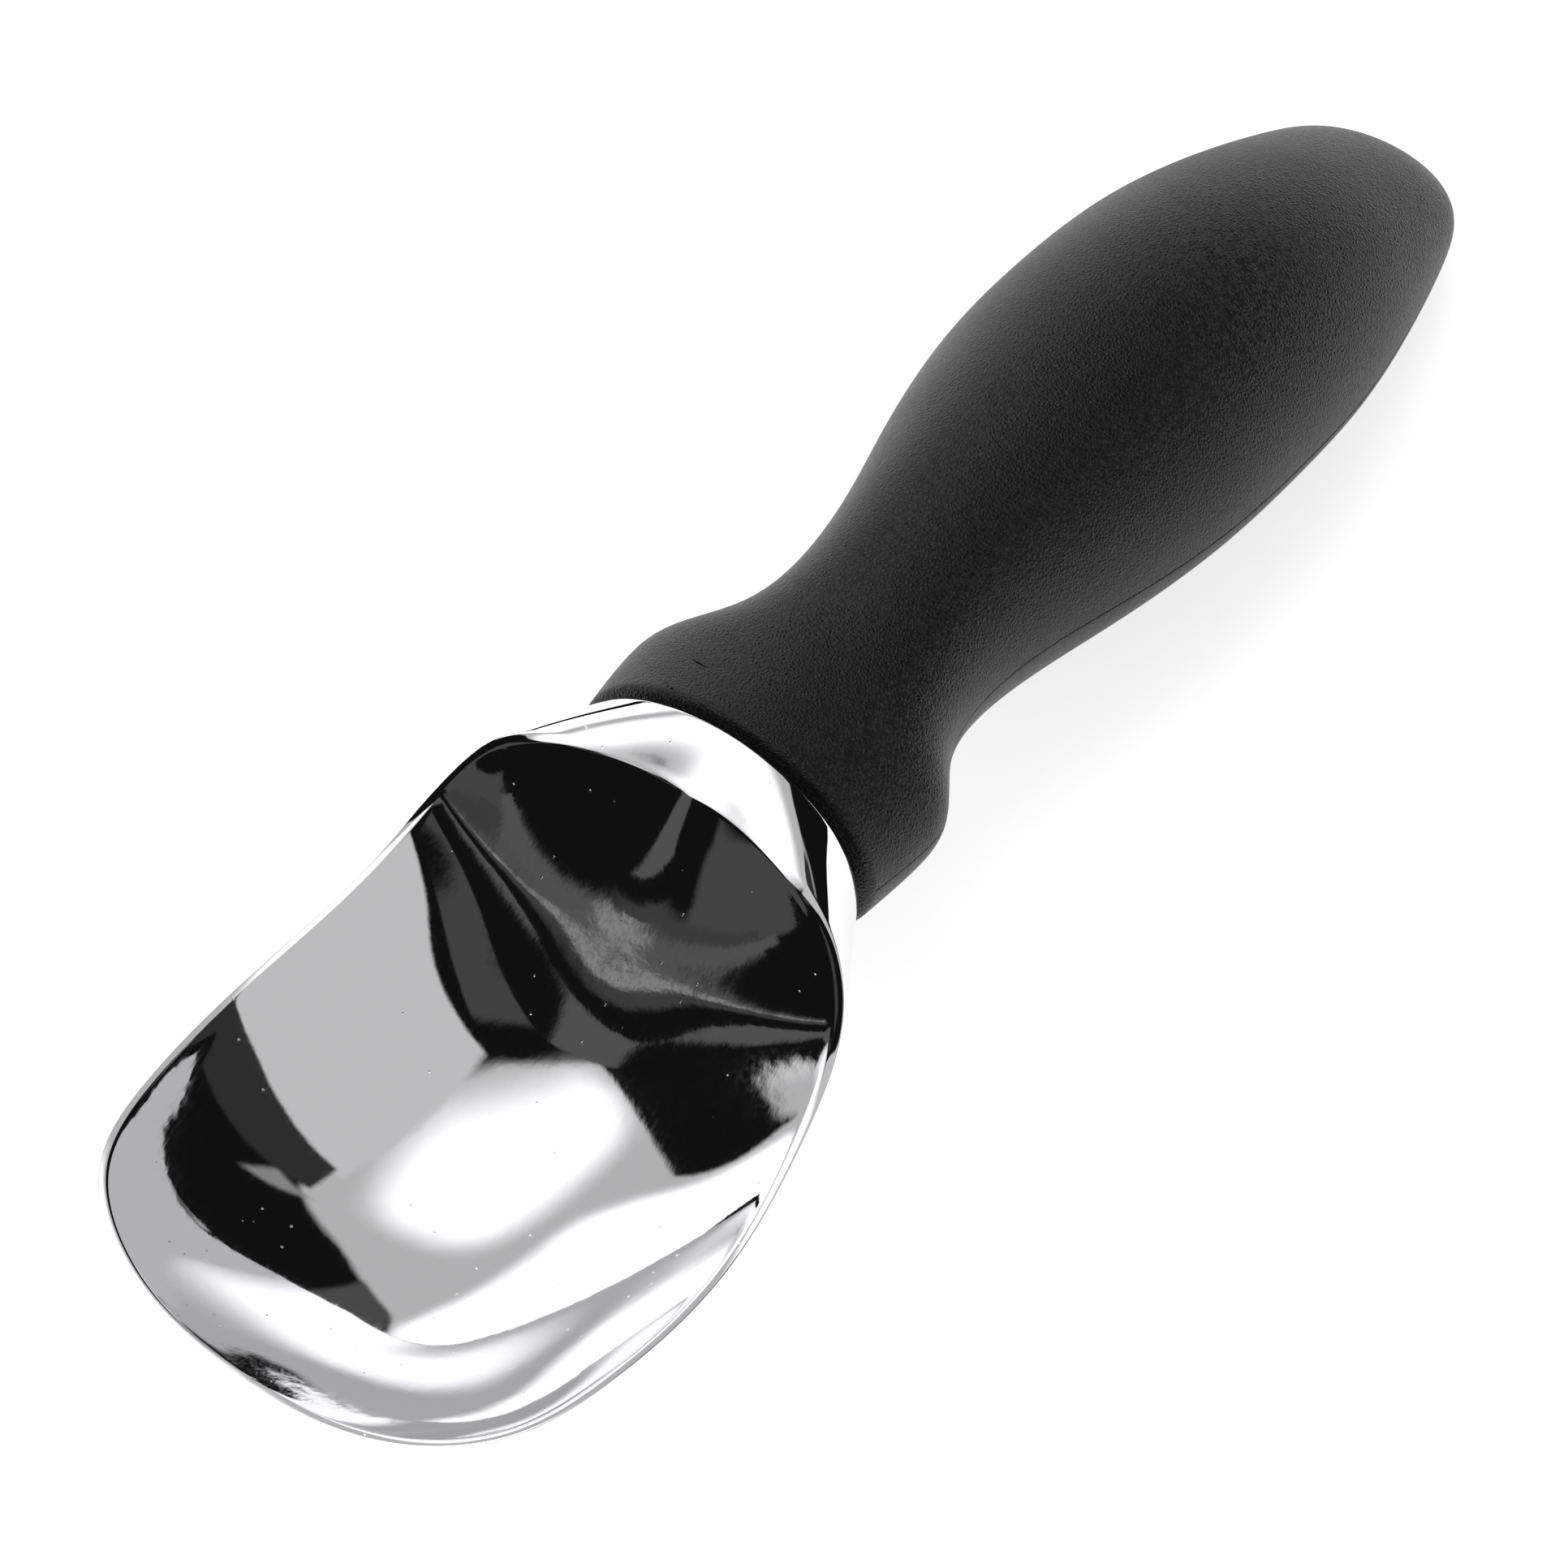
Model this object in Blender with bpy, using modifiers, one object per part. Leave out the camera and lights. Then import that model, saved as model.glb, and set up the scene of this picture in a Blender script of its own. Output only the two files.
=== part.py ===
"""A spade-type ice cream scoop: a chrome-plated cast head with a tang, in a soft-grip handle.

The scoop is modelled lying along X, bowl towards -X, with the joint between head and handle at
x = 0. An empty then lays it down the way it rests, on the belly of the bowl and the handle.
"""

import math

import bmesh
import bpy
import numpy as np

MM = 0.001

# Driving dimensions, in millimetres
HANDLE_LENGTH = 127.4
REST_TILT = math.radians(7.0)
GAP = 0.3
SEAL_GAP = 1.6
GRIP_SKIN = 3.0
CORE_WALL = 2.2
RIM_LAND = 0.9

# Outline of the handle along its axis: (distance from the joint, value)
HALF_WIDTH = [(0, 17.1), (4, 17.8), (9.5, 18.4), (14, 17.8), (20, 14.1), (29, 12.0), (40, 13.3),
              (50, 15.8), (64, 18.3), (77, 18.8), (90, 18.2), (103, 16.0), (115, 13.0), (122, 10.2),
              (HANDLE_LENGTH, 0)]
TOP = [(0, 12.6), (9, 11.6), (20, 11.2), (36, 15.2), (60, 18.4), (90, 16.0), (113, 7.5),
       (HANDLE_LENGTH, -4.0)]
BOTTOM = [(0, -13.8), (9, -11.8), (20, -9.8), (40, -10.5), (75, -8.8), (107, -10.2), (121, -9.5),
          (HANDLE_LENGTH, -4.0)]
PARTING = [(0, -0.6), (20, 0.3), (60, 1.0), (100, -1.0), (HANDLE_LENGTH, -4.0)]

# Half of the rim from the crest of the hood round to the tip of the lip. Each station holds the
# point on the rim, how the outer skin leaves it, and how the same line of skin leaves the joint.
RIM = [
    ((-4.7, 0, 8.8), (1.6, 0, 1.3), (-1.6, 0, -0.95)),
    ((-6.8, 11.2, 9.0), (2.3, -1.0, 1.1), (-2.2, 1.1, -0.5)),
    ((-9.0, 19.3, 6.0), (3.3, -2.0, 0.7), (-3.1, 2.3, -0.5)),
    ((-12.6, 24.3, -1.6), (5.3, -2.4, -1.0), (-4.4, 3.1, -1.2)),
    ((-20.9, 26.6, -8.0), (8.0, -2.5, -6.0), (-6.5, 3.8, -3.2)),
    ((-36.2, 28.8, -11.9), (10.0, -5.0, -9.5), (-9.5, 4.0, -9.0)),
    ((-53.0, 28.2, -11.8), (10.0, -5.5, -11.0), (-13.0, 4.0, -13.8)),
    ((-64.0, 24.8, -12.1), (13.0, -5.0, -13.0), (-16.5, 3.0, -17.3)),
    ((-69.8, 17.1, -14.2), (18.0, -4.5, -15.5), (-19.0, 1.8, -19.0)),
    ((-72.0, 8.7, -15.7), (21.5, -2.0, -17.2), (-20.5, 0.8, -19.8)),
    ((-72.4, 0, -16.3), (22.0, 0, -17.5), (-21.0, 0, -19.9)),
]
# The keel of the bowl's inside, from the crest down the back wall and out to the tip
KEEL = [(-5.6, 8.1), (-11.4, 0.5), (-16.6, -7.2), (-21.2, -13.6), (-27.6, -19.8), (-38.0, -24.4),
        (-50.0, -25.0), (-61.5, -22.0), (-71.4, -16.5)]
# Half the angle of the arcs across the inside, at its two ends and in its middle; how far the arcs
# under the hood lean forward; and a point in the middle of the bowl, which the rim's land faces
LEAST_OPENING = math.radians(32)
MOST_OPENING = math.radians(46)
HOOD_LEAN = 0.8
BOWL_MIDDLE = (-38.0, 0.0, -14.0)

TANG_LENGTH = 84.0
TANG_WIDTH = 10.0
TANG_THICKNESS = 7.0
TANG_STRAIGHT = 30.0
TANG_END = (0.7, 0.8)
SPIGOT_INSET = 2.9
PIN_DIAMETER = 4.0
# Each pin's distance from the joint and its length; and the hollow bays between the core's ribs
PIN_STATIONS = {"front_tang_pin": (24.0, 16.0), "rear_tang_pin": (64.0, 23.0)}
BAYS = [(6, 18), (30, 43), (46, 58), (70, 86), (89, 103), (106, 116)]

JOINT_CROWDING = 0.42
RIM_STEPS = 44
SKIN_STEPS = 18
ARC_STEPS = 22
HANDLE_STEPS = 34
RING_STEPS = 40


def material(name, colour, roughness, metallic=0.0):
    made = bpy.data.materials.new(name)
    made.use_nodes = True
    shader = made.node_tree.nodes["Principled BSDF"]
    shader.inputs["Base Color"].default_value = (*colour, 1.0)
    shader.inputs["Roughness"].default_value = roughness
    shader.inputs["Metallic"].default_value = metallic
    return made


def cubic(knots, values, at, closed=False):
    """Values at the places `at` of a smooth cubic through the knots, natural or closed at its ends."""
    knots = np.asarray(knots, float)
    values = np.asarray(values, float).reshape(len(knots), -1)
    steps = np.diff(knots)
    slopes = np.diff(values, axis=0) / steps[:, None]
    count = len(knots) - 1 if closed else len(knots)
    matrix = np.eye(count)
    right = np.zeros((count, values.shape[1]))
    for i in range(count):
        if not closed and i in (0, count - 1):
            continue
        before, after = (i - 1) % len(steps), i
        matrix[i, :] = 0
        matrix[i, (i - 1) % count] += steps[before]
        matrix[i, i] += 2 * (steps[before] + steps[after])
        matrix[i, (i + 1) % count] += steps[after]
        right[i] = 6 * (slopes[after] - slopes[before])
    bend = np.linalg.solve(matrix, right)
    if closed:
        bend = np.vstack([bend, bend[:1]])
    at = np.asarray(at, float)
    span = np.clip(np.searchsorted(knots, at, side="right") - 1, 0, len(steps) - 1)
    width = steps[span][:, None]
    far = ((at - knots[span])[:, None]) / width
    near = 1 - far
    curve = near * values[span] + far * values[span + 1]
    return curve + width**2 / 6 * ((near**3 - near) * bend[span] + (far**3 - far) * bend[span + 1])


def handle_outline(points, share):
    """A value along the handle, where share 0..1 runs from the joint to the butt, dense at both."""
    knots = [math.acos(1 - 2 * x / HANDLE_LENGTH) / math.pi for x, _ in points]
    return cubic(knots, [value for _, value in points], share)[:, 0]


def handle_rings(start, end, inset, steps):
    """Rings of points round the handle, drawn in from its surface, between two distances."""
    first, last = (math.acos(1 - 2 * x / HANDLE_LENGTH) / math.pi for x in (start, end))
    share = np.linspace(first, last, steps)
    x = HANDLE_LENGTH * (1 - np.cos(math.pi * share)) / 2
    middle = handle_outline(PARTING, share)
    wide = handle_outline(HALF_WIDTH, share) - inset
    up = handle_outline(TOP, share) - inset - middle
    down = middle - handle_outline(BOTTOM, share) - inset
    turn = np.linspace(0, 2 * math.pi, RING_STEPS, endpoint=False)
    tall = np.where(np.sin(turn) > 0, up[:, None], down[:, None])
    return np.stack([
        np.repeat(x[:, None], RING_STEPS, 1),
        wide[:, None] * np.cos(turn),
        middle[:, None] + tall * np.sin(turn),
    ], axis=-1)


def half_rings(start, end, inset, steps, side):
    """Rings round the upper (side 1) or lower (side -1) half of the handle's inside."""
    rings = handle_rings(start, end, inset, steps)
    keep = RING_STEPS // 2 + 1
    order = np.arange(keep) if side > 0 else (np.arange(keep) + RING_STEPS // 2) % RING_STEPS
    rings = rings[:, order]
    split = rings[:, :1, 2]
    lift = side * GAP / 2
    rings[:, :, 2] = np.where(side * (rings[:, :, 2] - split) < abs(lift), split + lift, rings[:, :, 2])
    return rings


def add_strip(mesh, first, second):
    """Quads between two closed rings of vertices; a ring of one vertex makes a fan."""
    count = max(len(first), len(second))
    for i in range(count):
        j = (i + 1) % count
        corners = [first[i % len(first)], first[j % len(first)], second[j % len(second)], second[i % len(second)]]
        corners = [v for k, v in enumerate(corners) if v is not corners[k - 1]]
        mesh.faces.new(corners)


def solid_from_rings(name, rings, finish, smooth_angle=40):
    """A closed solid skinned over rings of points, capped by a face or a point at each end."""
    mesh = bmesh.new()
    made = [[mesh.verts.new(np.asarray(p) * MM) for p in ring] for ring in rings]
    for first, second in zip(made, made[1:]):
        add_strip(mesh, first, second)
    for ring in (made[0], made[-1]):
        if len(ring) > 1:
            mesh.faces.new(ring)
    return finish_mesh(name, mesh, finish, smooth_angle)


def finish_mesh(name, mesh, finish, smooth_angle=40):
    bmesh.ops.remove_doubles(mesh, verts=mesh.verts, dist=1e-6)
    bmesh.ops.recalc_face_normals(mesh, faces=mesh.faces)
    data = bpy.data.meshes.new(name)
    mesh.to_mesh(data)
    mesh.free()
    data.shade_smooth()
    data.set_sharp_from_angle(angle=math.radians(smooth_angle))
    data.materials.append(finish)
    made = bpy.data.objects.new(name, data)
    scoop.objects.link(made)
    made.parent = rest
    return made


def box_cutter(name, low, high):
    """A plain box between two corners, for a Boolean to take away."""
    mesh = bmesh.new()
    bmesh.ops.create_cube(mesh, size=1.0)
    centre = [(a + b) / 2 * MM for a, b in zip(low, high)]
    size = [(b - a) * MM for a, b in zip(low, high)]
    bmesh.ops.scale(mesh, vec=size, verts=mesh.verts)
    bmesh.ops.translate(mesh, vec=centre, verts=mesh.verts)
    return finish_cutter(name, mesh)


def pin_cutter(name, x, diameter, length):
    mesh = bmesh.new()
    pin_into(mesh, x, diameter, length)
    return finish_cutter(name, mesh)


def pin_into(mesh, x, diameter, length):
    """A cylinder lying across the handle, on the split line of the core."""
    bmesh.ops.create_cone(mesh, cap_ends=True, segments=24, radius1=diameter / 2 * MM,
                          radius2=diameter / 2 * MM, depth=length * MM)
    turned = [(v.co.x + x * MM, v.co.z, -v.co.y) for v in mesh.verts]
    for vertex, place in zip(mesh.verts, turned):
        vertex.co = place


def finish_cutter(name, mesh):
    bmesh.ops.recalc_face_normals(mesh, faces=mesh.faces)
    data = bpy.data.meshes.new(name)
    mesh.to_mesh(data)
    mesh.free()
    made = bpy.data.objects.new(name, data)
    cutters.objects.link(made)
    made.hide_render = True
    made.display_type = "WIRE"
    return made


def ring_cutter(name, rings):
    mesh = bmesh.new()
    made = [[mesh.verts.new(np.asarray(p) * MM) for p in ring] for ring in rings]
    for first, second in zip(made, made[1:]):
        add_strip(mesh, first, second)
    mesh.faces.new(made[0])
    mesh.faces.new(made[-1])
    return finish_cutter(name, mesh)


def cut(piece, cutter, on_rest=True):
    if on_rest:
        cutter.parent = rest
    modifier = piece.modifiers.new("cut_" + cutter.name, "BOOLEAN")
    modifier.operation = "DIFFERENCE"
    modifier.solver = "EXACT"
    modifier.object = cutter


def rim_loop(column, at):
    """A point or direction of the rim stations, smooth round the whole loop; at 0..1 is one side."""
    half = np.array([station[column] for station in RIM], float)
    points = np.array([station[0] for station in RIM], float)
    mirror = np.array([1, -1, 1])
    loop = np.vstack([half, half[-2::-1] * mirror])
    places = np.vstack([points, points[-2::-1] * mirror])
    along = np.concatenate([[0], np.cumsum(np.linalg.norm(np.diff(places, axis=0), axis=1))])
    return cubic(along / along[-1] * 2, loop, np.asarray(at) % 2, closed=True)


def rim_inner(at):
    """The rim's inside edge: one land's width in from the rim, towards the middle of the bowl."""
    step = 1e-4
    points = rim_loop(0, at)
    along = rim_loop(0, np.asarray(at) + step) - rim_loop(0, np.asarray(at) - step)
    along /= np.linalg.norm(along, axis=1)[:, None]
    inward = np.array(BOWL_MIDDLE) - points
    inward -= (inward * along).sum(axis=1)[:, None] * along
    return points + RIM_LAND * inward / np.linalg.norm(inward, axis=1)[:, None]


def joint_ring(at):
    """Points of the joint's oval that the outer skin's lines start from, drawn towards its underside."""
    turn = math.pi * np.asarray(at) + JOINT_CROWDING * np.sin(math.pi * np.asarray(at))
    middle = PARTING[0][1]
    tall = np.where(np.cos(turn) > 0, TOP[0][1] - middle, middle - BOTTOM[0][1])
    return np.stack([0 * turn, HALF_WIDTH[0][1] * np.sin(turn), middle + tall * np.cos(turn)], axis=-1)


def outer_skin(at):
    """Rows of points from the joint to the rim, each line of them a Bezier curve."""
    start, end = joint_ring(at), rim_loop(0, at)
    second, first = end + rim_loop(1, at), start + rim_loop(2, at)
    rows = []
    for t in np.linspace(0, 1, SKIN_STEPS):
        rows.append((1 - t)**3 * start + 3 * t * (1 - t)**2 * first + 3 * t * t * (1 - t) * second + t**3 * end)
    return rows


def bowl_inside():
    """Rows across the bowl's inside: arcs hung between the two sides of the rim, through the keel."""
    at = np.linspace(0, 1, RIM_STEPS + 1)
    edge = rim_inner(at)
    keel_points = np.array(KEEL, float)
    keel_points[0] = edge[0, [0, 2]]
    keel_points[-1] = edge[-1, [0, 2]]
    along = np.concatenate([[0], np.cumsum(np.linalg.norm(np.diff(keel_points, axis=0), axis=1))])
    eased = (1 - np.cos(math.pi * at)) / 2
    keel = cubic(along / along[-1], keel_points, eased + HOOD_LEAN * (1 - at)**2 * (at - eased))
    rows = []
    for place, (x, wide, z), (low_x, low_z) in zip(at, edge, keel):
        opening = LEAST_OPENING + (MOST_OPENING - LEAST_OPENING) * math.sin(math.pi * place)
        turn = np.linspace(-opening, opening, ARC_STEPS + 1)
        rise = (1 - np.cos(turn)) / (1 - math.cos(opening))
        across = np.sin(turn) / math.sin(opening)
        rows.append(np.stack([low_x + (x - low_x) * rise, wide * across, low_z + (z - low_z) * rise], axis=-1))
    return rows


def scoop_head(finish):
    """The casting: bowl, hood and collar as one skin, with the spigot and tang behind the joint."""
    loop = np.concatenate([np.linspace(0, 1, RIM_STEPS + 1), np.linspace(1, 2, RIM_STEPS + 1)[1:-1]])
    mesh = bmesh.new()
    spigot = joint_ring(loop)
    spigot[:, 1] *= 1 - SPIGOT_INSET / HALF_WIDTH[0][1]
    spigot[:, 2] *= 1 - SPIGOT_INSET / TOP[0][1]
    deep = spigot + [SEAL_GAP - GAP, 0, 0]
    tang = deep * [1, 0, 0]
    corner = np.abs(np.stack([deep[:, 1] / TANG_WIDTH, deep[:, 2] / TANG_THICKNESS])).max(axis=0)
    tang[:, 1:] = deep[:, 1:] / corner[:, None] / 2
    end = tang * [0, *TANG_END] + [TANG_LENGTH, 0, 0]
    rings = [end, tang + [TANG_STRAIGHT, 0, 0], tang, deep, spigot]
    rings += outer_skin(loop)
    made = [[mesh.verts.new(p * MM) for p in ring] for ring in rings]
    mesh.faces.new(made[0])
    for first, second in zip(made, made[1:]):
        add_strip(mesh, first, second)
    inside = [[mesh.verts.new(p * MM) for p in row] for row in bowl_inside()]
    edge = [row[-1] for row in inside] + [row[0] for row in inside[-2:0:-1]]
    add_strip(mesh, made[-1], edge)
    for first, second in zip(inside, inside[1:]):
        for i in range(ARC_STEPS):
            mesh.faces.new([first[i], first[i + 1], second[i + 1], second[i]])
    head = finish_mesh("scoop_head", mesh, finish, 30)
    for name, (x, _) in PIN_STATIONS.items():
        cut(head, pin_cutter("hole_" + name, x, PIN_DIAMETER + 2 * GAP, 2 * TANG_WIDTH))
    return head


def soft_grip(finish):
    """The overmoulded sleeve: one closed skin, open at the joint, over the rigid core."""
    front = SEAL_GAP
    outer = list(handle_rings(front, HANDLE_LENGTH - 0.05, 0, HANDLE_STEPS))
    outer = [np.array([[HANDLE_LENGTH, 0, TOP[-1][1]]])] + outer[::-1]
    back = HANDLE_LENGTH - 2 * GRIP_SKIN
    inner = list(handle_rings(front, back, GRIP_SKIN, HANDLE_STEPS - 6))
    inner.append(inner[-1].mean(axis=0, keepdims=True))
    return solid_from_rings("soft_grip", outer + inner, finish)


def core_half(name, side, finish):
    """One half of the rigid core: a shell with ribs that clamp the tang and hold the cross pins."""
    front = SEAL_GAP
    back = HANDLE_LENGTH - 2 * GRIP_SKIN - GAP
    rings = half_rings(front, back, GRIP_SKIN + GAP, HANDLE_STEPS - 10, side)
    half = solid_from_rings(name, rings, finish)
    slot = (TANG_WIDTH / 2 + GAP, TANG_THICKNESS / 2 + GAP)
    cut(half, box_cutter("tang_slot_" + name, (-5, -slot[0], -slot[1]), (TANG_LENGTH + GAP, *slot)))
    for start, end in BAYS:
        cut(half, ring_cutter(f"bay_{start}_{name}", handle_rings(start, end, GRIP_SKIN + GAP + CORE_WALL, 7)))
    for pin, (x, length) in PIN_STATIONS.items():
        cut(half, pin_cutter(f"saddle_{pin}_{name}", x, PIN_DIAMETER + 2 * GAP, length + 2 * GAP))
    return half


def tang_pin(name, x, length, finish):
    """A straight steel pin across the tang, with a chamfer at each end."""
    mesh = bmesh.new()
    pin_into(mesh, x, PIN_DIAMETER, length)
    pin = finish_mesh(name, mesh, finish, 60)
    bevel = pin.modifiers.new("chamfer", "BEVEL")
    bevel.width = 0.4 * MM
    bevel.segments = 1
    bevel.limit_method = "ANGLE"
    bevel.angle_limit = math.radians(60)
    return pin


def joint_seal(finish):
    """The rubber ring in the groove between the collar and the grip."""
    section = (SEAL_GAP - 2 * GAP) / 2
    shrink = SPIGOT_INSET - GAP - section
    path = joint_ring(np.linspace(0, 2, 64, endpoint=False))
    curve = bpy.data.curves.new("joint_seal", "CURVE")
    curve.dimensions = "3D"
    curve.bevel_depth = section * MM
    curve.bevel_resolution = 2
    spline = curve.splines.new("POLY")
    spline.points.add(len(path) - 1)
    for point, (_, y, z) in zip(spline.points, path):
        scale_y = 1 - shrink / HALF_WIDTH[0][1]
        scale_z = 1 - shrink / TOP[0][1]
        point.co = (SEAL_GAP / 2 * MM, y * scale_y * MM, z * scale_z * MM, 1)
    spline.use_cyclic_u = True
    curve.materials.append(finish)
    made = bpy.data.objects.new("joint_seal", curve)
    scoop.objects.link(made)
    made.parent = rest
    return made


def lay_down(head):
    """Tilts the scoop onto its handle, flattens the belly there, and centres it over the origin."""
    share = np.linspace(0, 1, 400)
    x = HANDLE_LENGTH * (1 - np.cos(math.pi * share)) / 2
    height = handle_outline(BOTTOM, share) * math.cos(REST_TILT) - x * math.sin(REST_TILT)
    rest.rotation_euler = (0, REST_TILT, 0)
    rest.location = (0, 0, -height.min() * MM)
    bpy.context.view_layer.update()
    floor = box_cutter("belly_flat", (-90, -40, -30), (20, 40, 0))
    cut(head, floor, on_rest=False)
    bpy.context.view_layer.update()
    graph = bpy.context.evaluated_depsgraph_get()
    reach = []
    for piece in scoop.objects:
        solid = piece.evaluated_get(graph)
        reach += [(solid.matrix_world @ corner.co).x for corner in solid.to_mesh().vertices]
    shift = -(min(reach) + max(reach)) / 2
    rest.location.x = shift
    floor.location.x = shift


for old in list(bpy.data.objects):
    bpy.data.objects.remove(old)

scoop = bpy.data.collections.new("ice_scoop")
cutters = bpy.data.collections.new("cutters")
bpy.context.scene.collection.children.link(scoop)
bpy.context.scene.collection.children.link(cutters)
rest = bpy.data.objects.new("rest", None)
bpy.context.scene.collection.objects.link(rest)

chrome = material("chrome", (0.80, 0.80, 0.81), 0.05, 1.0)
soft_black = material("soft_black", (0.018, 0.018, 0.019), 0.55)
core_plastic = material("core_plastic", (0.10, 0.10, 0.11), 0.45)
steel = material("steel", (0.55, 0.55, 0.56), 0.35, 1.0)
seal_rubber = material("seal_rubber", (0.012, 0.012, 0.012), 0.7)

casting = scoop_head(chrome)
joint_seal(seal_rubber)
core_half("core_upper", 1, core_plastic)
core_half("core_lower", -1, core_plastic)
for pin_name, (pin_x, pin_length) in PIN_STATIONS.items():
    tang_pin(pin_name, pin_x, pin_length, steel)
soft_grip(soft_black)
lay_down(casting)
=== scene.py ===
import math

import bmesh
import bpy
import numpy as np
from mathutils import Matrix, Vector


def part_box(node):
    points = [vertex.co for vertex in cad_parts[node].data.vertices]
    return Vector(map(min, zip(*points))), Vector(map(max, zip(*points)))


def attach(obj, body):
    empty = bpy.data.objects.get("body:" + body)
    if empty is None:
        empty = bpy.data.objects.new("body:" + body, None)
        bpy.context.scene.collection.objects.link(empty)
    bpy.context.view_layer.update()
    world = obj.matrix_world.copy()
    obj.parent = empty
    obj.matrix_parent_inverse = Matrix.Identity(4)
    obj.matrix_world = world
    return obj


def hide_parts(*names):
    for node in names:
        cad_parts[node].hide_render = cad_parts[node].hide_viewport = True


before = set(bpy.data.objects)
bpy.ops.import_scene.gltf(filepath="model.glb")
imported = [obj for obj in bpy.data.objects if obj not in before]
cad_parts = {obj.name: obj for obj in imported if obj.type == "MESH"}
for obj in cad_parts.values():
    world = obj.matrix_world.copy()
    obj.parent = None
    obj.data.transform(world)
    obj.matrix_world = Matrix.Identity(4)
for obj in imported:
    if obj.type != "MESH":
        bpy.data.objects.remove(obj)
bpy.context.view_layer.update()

# A spade-type ice cream scoop lying on a white table: a chrome-plated cast head in a soft black grip.
# Its sizes are in millimetres, with the joint at x = 0, the handle along +X and the bowl along -X.

# ---------------------------------------------------------------------------------------------
# The casting. Bowl, hood and collar are one zinc casting with a thin rounded rim, ground and
# polished inside and out and then chrome plated. Behind the joint it goes on as a spigot and a
# flat tang, which the handle is moulded round and two steel pins hold.

# Half of the rim, from the crest of the hood to the tip of the lip: the point, how the outer skin
# comes up to it, and how the same line of the skin leaves the joint
RIM = [
    ((-4.7, 0, 8.8), (1.6, 0, 1.3), (-1.6, 0, -0.95)),
    ((-6.8, 11.2, 9.0), (2.3, -1.0, 1.1), (-2.2, 1.1, -0.5)),
    ((-9.0, 19.3, 6.0), (3.3, -2.0, 0.7), (-3.1, 2.3, -0.5)),
    ((-12.6, 24.3, -1.6), (5.3, -2.4, -1.0), (-4.4, 3.1, -1.2)),
    ((-20.9, 26.6, -8.0), (8.0, -2.5, -6.0), (-6.5, 3.8, -3.2)),
    ((-36.2, 28.8, -11.9), (10.0, -5.0, -9.5), (-9.5, 4.0, -9.0)),
    ((-53.0, 28.2, -11.8), (10.0, -5.5, -11.0), (-13.0, 4.0, -13.8)),
    ((-64.0, 24.8, -12.1), (13.0, -5.0, -13.0), (-16.5, 3.0, -17.3)),
    ((-69.8, 17.1, -14.2), (18.0, -4.5, -15.5), (-19.0, 1.8, -19.0)),
    ((-72.0, 8.7, -15.7), (21.5, -2.0, -17.2), (-20.5, 0.8, -19.8)),
    ((-72.4, 0, -16.3), (22.0, 0, -17.5), (-21.0, 0, -19.9)),
]
# The keel of the bowl's inside, from the crest down the back wall and out to the tip: (x, z)
KEEL = [(-5.6, 8.1), (-11.4, 0.5), (-16.6, -7.2), (-21.2, -13.6), (-27.6, -19.8), (-38.0, -24.4),
        (-50.0, -25.0), (-61.5, -22.0), (-71.4, -16.5)]
# Half the angle of the arcs across the inside, at its two ends and in its middle; how far the arcs
# under the hood lean forward; and a point in the middle of the bowl, which the rim's land faces
LEAST_OPENING = math.radians(32)
MOST_OPENING = math.radians(46)
HOOD_LEAN = 0.8
BOWL_MIDDLE = (-38.0, 0.0, -14.0)
RIM_LAND = 0.9
RIM_ROUND = 0.3
JOINT_ROUND = 0.35
JOINT_HALF_WIDTH = 17.1
JOINT_TOP = 12.6
JOINT_BOTTOM = -13.8
JOINT_MIDDLE = -0.6
# How much wider apart the lines of the skin start at the top of the joint than at its bottom
JOINT_CROWDING = 0.42
SPIGOT_INSET = 2.9
SPIGOT_LENGTH = 1.3
# Half the tang's width and thickness, the length of its straight root, its whole length, and the
# share of its width and thickness that is left at its end
TANG_HALF = (5.0, 3.5)
TANG_ROOT = 1.0
TANG_LENGTH = 84.0
TANG_END = (0.7, 0.8)
# Each pin's distance from the joint, and the drill that cuts the holes for them
PIN_PLACES = {"front_tang_pin": 24.0, "rear_tang_pin": 64.0}
PIN_HOLE_RADIUS = 2.3
DRILL_LENGTH = 20.0
REST_TILT = math.radians(7.0)
OTHER_SIDE = np.array([1, -1, 1])

pin_low, pin_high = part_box("front_tang_pin")
pin_centre = (np.array(pin_low) + np.array(pin_high)) / 2
tilt_matrix = np.array([
    [math.cos(REST_TILT), 0, math.sin(REST_TILT)],
    [0, 1, 0],
    [-math.sin(REST_TILT), 0, math.cos(REST_TILT)],
])
joint_centre = pin_centre - tilt_matrix @ [PIN_PLACES["front_tang_pin"] / 1000, 0, 0]


def laid_down(points):
    """Points of the scoop in millimetres, put where they are when it lies on the table."""
    places = np.asarray(points, float) / 1000 @ tilt_matrix.T + joint_centre
    places[..., 2] = np.maximum(places[..., 2], 0)
    return places


def unit(vectors):
    return vectors / np.maximum(np.linalg.norm(vectors, axis=-1, keepdims=True), 1e-9)


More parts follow.
